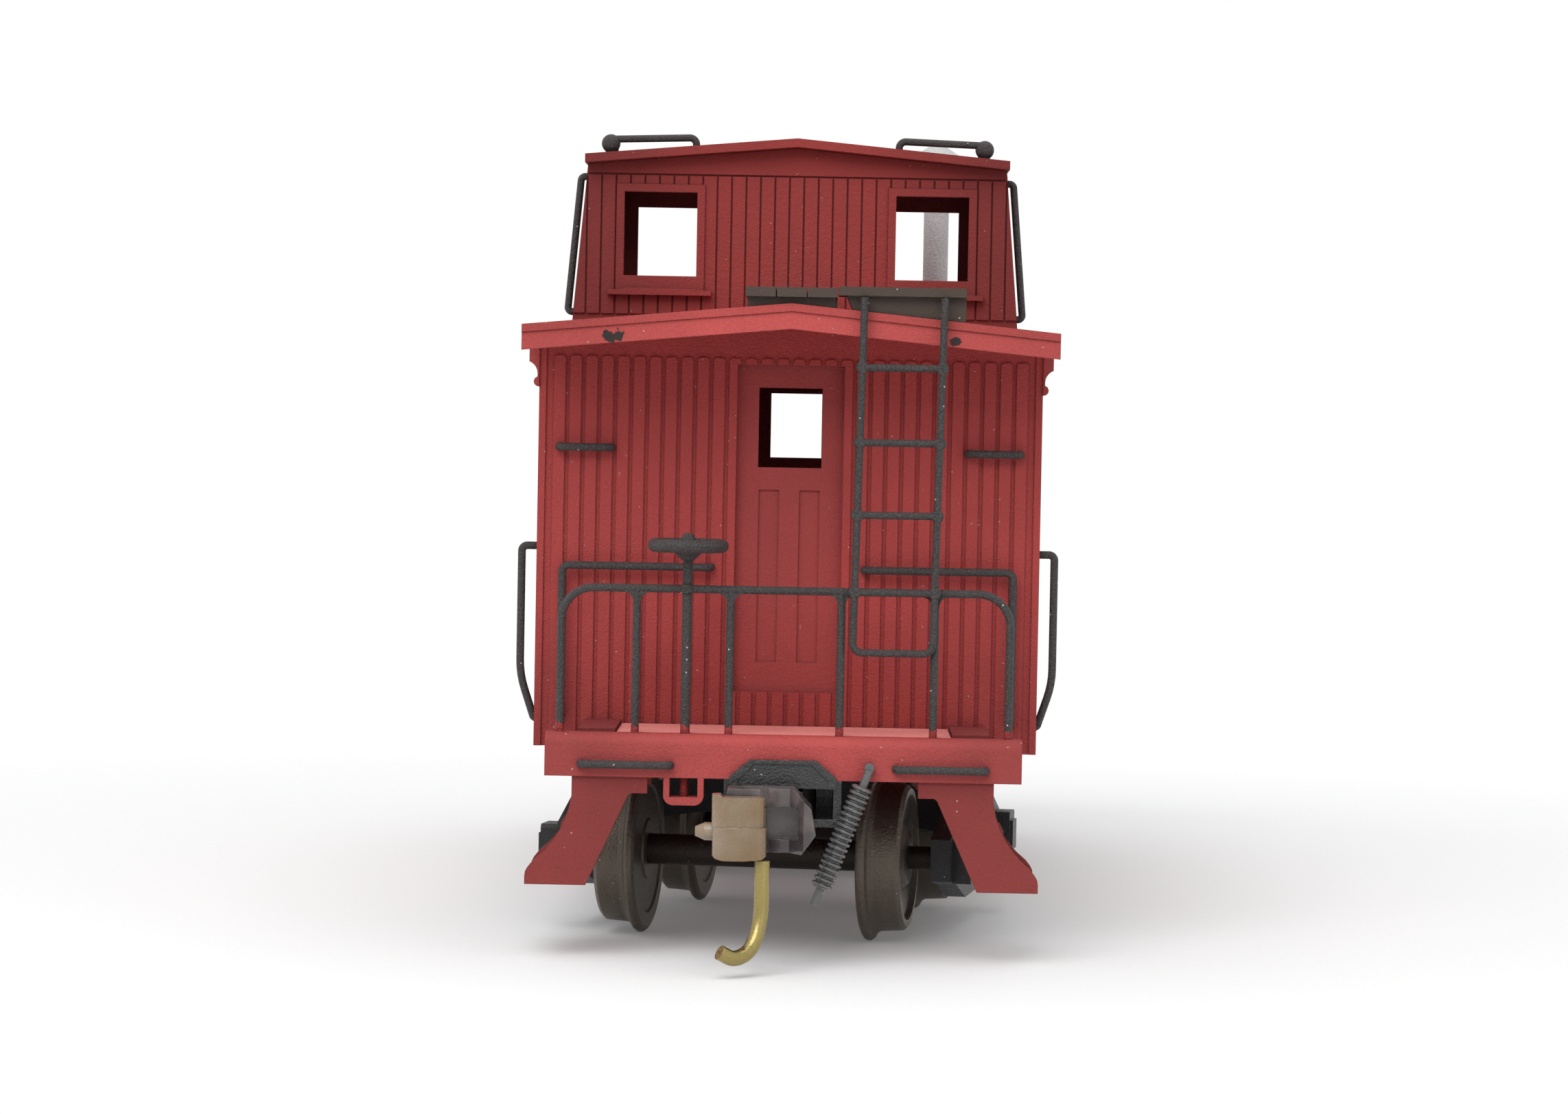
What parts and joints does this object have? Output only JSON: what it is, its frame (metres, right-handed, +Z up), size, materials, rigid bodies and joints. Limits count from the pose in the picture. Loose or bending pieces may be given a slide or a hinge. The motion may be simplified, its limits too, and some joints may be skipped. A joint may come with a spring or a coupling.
{
  "type": "model caboose",
  "caption": "HO-scale wood-sheathed caboose with a sloped-side cupola, open end platforms, swivelling trucks, rolling wheelsets and swinging knuckle couplers.",
  "frame": {"origin": "centre of the bounding box on the floor, under the middle of the car", "axes": "+Y along the car towards the rear end, +X to the right seen from the front end, +Z up"},
  "size_m": [0.0346, 0.1106, 0.055],
  "materials": {
    "caboose_red": "flat caboose red over brass",
    "deck_red": "dusty faded red",
    "underframe_red": "flat dark red",
    "black_wire": "satin black over brass wire",
    "black_casting": "satin black",
    "roof_walk_grey": "flat dark grey",
    "screw_steel": "dull",
    "truck_black": "flat black",
    "blackened_wheel": "chemically blackened metal",
    "dark_axle": "blackened metal",
    "coupler_dark": "smoky translucent plastic",
    "knuckle_tan": "cloudy tan plastic",
    "pin_brass": "dull olive brass",
    "box_black": "satin black"
  },
  "bodies": {
    "car": {"air_hoses": "black_casting", "body_bolsters": "underframe_red", "brake_staff_stirrups": "caboose_red", "brake_staffs": "black_wire", "brake_wheels": "black_casting", "centre_sill": "underframe_red", "corner_grab_irons": "black_wire", "coupler_boxes": "box_black", "cupola_handrails": "black_wire", "cupola_roof": "caboose_red", "cupola_roof_grab_irons": "black_wire", "cupola_wall_front": "caboose_red", "cupola_wall_left": "caboose_red", "cupola_wall_rear": "caboose_red", "cupola_wall_right": "caboose_red", "cupola_window_casings": "caboose_red", "eave_cornices": "caboose_red", "end_and_beam_grab_irons": "black_wire", "end_beam_front": "caboose_red", "end_beam_rear": "caboose_red", "end_doors": "caboose_red", "end_railings": "black_wire", "end_wall_front": "caboose_red", "end_wall_rear": "caboose_red", "floor_deck": "underframe_red", "kingpin_screws": "screw_steel", "ladders": "black_wire", "lateral_running_boards": "roof_walk_grey", "main_roof": "caboose_red", "platform_boards": "deck_red", "roof_end_fascias": "caboose_red", "roof_walk_planks": "roof_walk_grey", "roof_walk_saddles": "roof_walk_grey", "side_grab_irons": "black_wire", "side_wall_left": "caboose_red", "side_wall_right": "caboose_red", "smokejack": "black_casting", "steps_front_left": "caboose_red", "steps_front_right": "caboose_red", "steps_rear_left": "caboose_red", "steps_rear_right": "caboose_red", "truss_rods": "underframe_red"},
    "front_truck": {"front_truck_side_frames": "truck_black", "front_truck_bolster": "truck_black"},
    "rear_truck": {"rear_truck_side_frames": "truck_black", "rear_truck_bolster": "truck_black"},
    "front_outer_wheelset": {"front_outer_axle": "dark_axle", "front_outer_wheels": "blackened_wheel"},
    "front_inner_wheelset": {"front_inner_axle": "dark_axle", "front_inner_wheels": "blackened_wheel"},
    "rear_outer_wheelset": {"rear_outer_axle": "dark_axle", "rear_outer_wheels": "blackened_wheel"},
    "rear_inner_wheelset": {"rear_inner_axle": "dark_axle", "rear_inner_wheels": "blackened_wheel"},
    "front_coupler": {"coupler_front": "coupler_dark"},
    "front_knuckle": {"knuckle_front": "knuckle_tan", "trip_pin_front": "pin_brass"},
    "rear_coupler": {"coupler_rear": "coupler_dark"},
    "rear_knuckle": {"knuckle_rear": "knuckle_tan", "trip_pin_rear": "pin_brass"}
  },
  "joints": [
    {"name": "front_truck_swivel", "type": "hinge", "parent": "car", "child": "front_truck", "pos_m": [0, -0.02145, 0.00545], "axis": [0, 0, 1], "range_deg": [-2.7, 21.3]},
    {"name": "rear_truck_swivel", "type": "hinge", "parent": "car", "child": "rear_truck", "pos_m": [0, 0.02145, 0.00545], "axis": [0, 0, 1], "range_deg": [-12, 12]},
    {"name": "front_outer_axle_spin", "type": "hinge", "parent": "front_truck", "child": "front_outer_wheelset", "pos_m": [-0.00165, -0.03152, 0.00545], "axis": [0.9869, -0.1616, 0], "continuous": true},
    {"name": "front_inner_axle_spin", "type": "hinge", "parent": "front_truck", "child": "front_inner_wheelset", "pos_m": [0.00165, -0.01138, 0.00545], "axis": [0.9869, -0.1616, 0], "continuous": true},
    {"name": "rear_outer_axle_spin", "type": "hinge", "parent": "rear_truck", "child": "rear_outer_wheelset", "pos_m": [0, 0.03165, 0.00545], "axis": [1, 0, 0], "continuous": true},
    {"name": "rear_inner_axle_spin", "type": "hinge", "parent": "rear_truck", "child": "rear_inner_wheelset", "pos_m": [0, 0.01125, 0.00545], "axis": [1, 0, 0], "continuous": true},
    {"name": "front_coupler_swing", "type": "hinge", "parent": "car", "child": "front_coupler", "pos_m": [0, -0.0413, 0.0099], "axis": [0, 0, 1], "range_deg": [-10, 10], "stiffness_Nm_per_rad": 0.0002},
    {"name": "front_knuckle_swing", "type": "hinge", "parent": "front_coupler", "child": "front_knuckle", "pos_m": [-0.002, -0.05095, 0.0091], "axis": [0, 0, 1], "range_deg": [-22, 0], "stiffness_Nm_per_rad": 0.00005},
    {"name": "rear_coupler_swing", "type": "hinge", "parent": "car", "child": "rear_coupler", "pos_m": [0, 0.0413, 0.0099], "axis": [0, 0, 1], "range_deg": [-10, 10], "stiffness_Nm_per_rad": 0.0002},
    {"name": "rear_knuckle_swing", "type": "hinge", "parent": "rear_coupler", "child": "rear_knuckle", "pos_m": [0.002, 0.05095, 0.0091], "axis": [0, 0, 1], "range_deg": [-22, 0], "stiffness_Nm_per_rad": 0.00005}
  ]
}
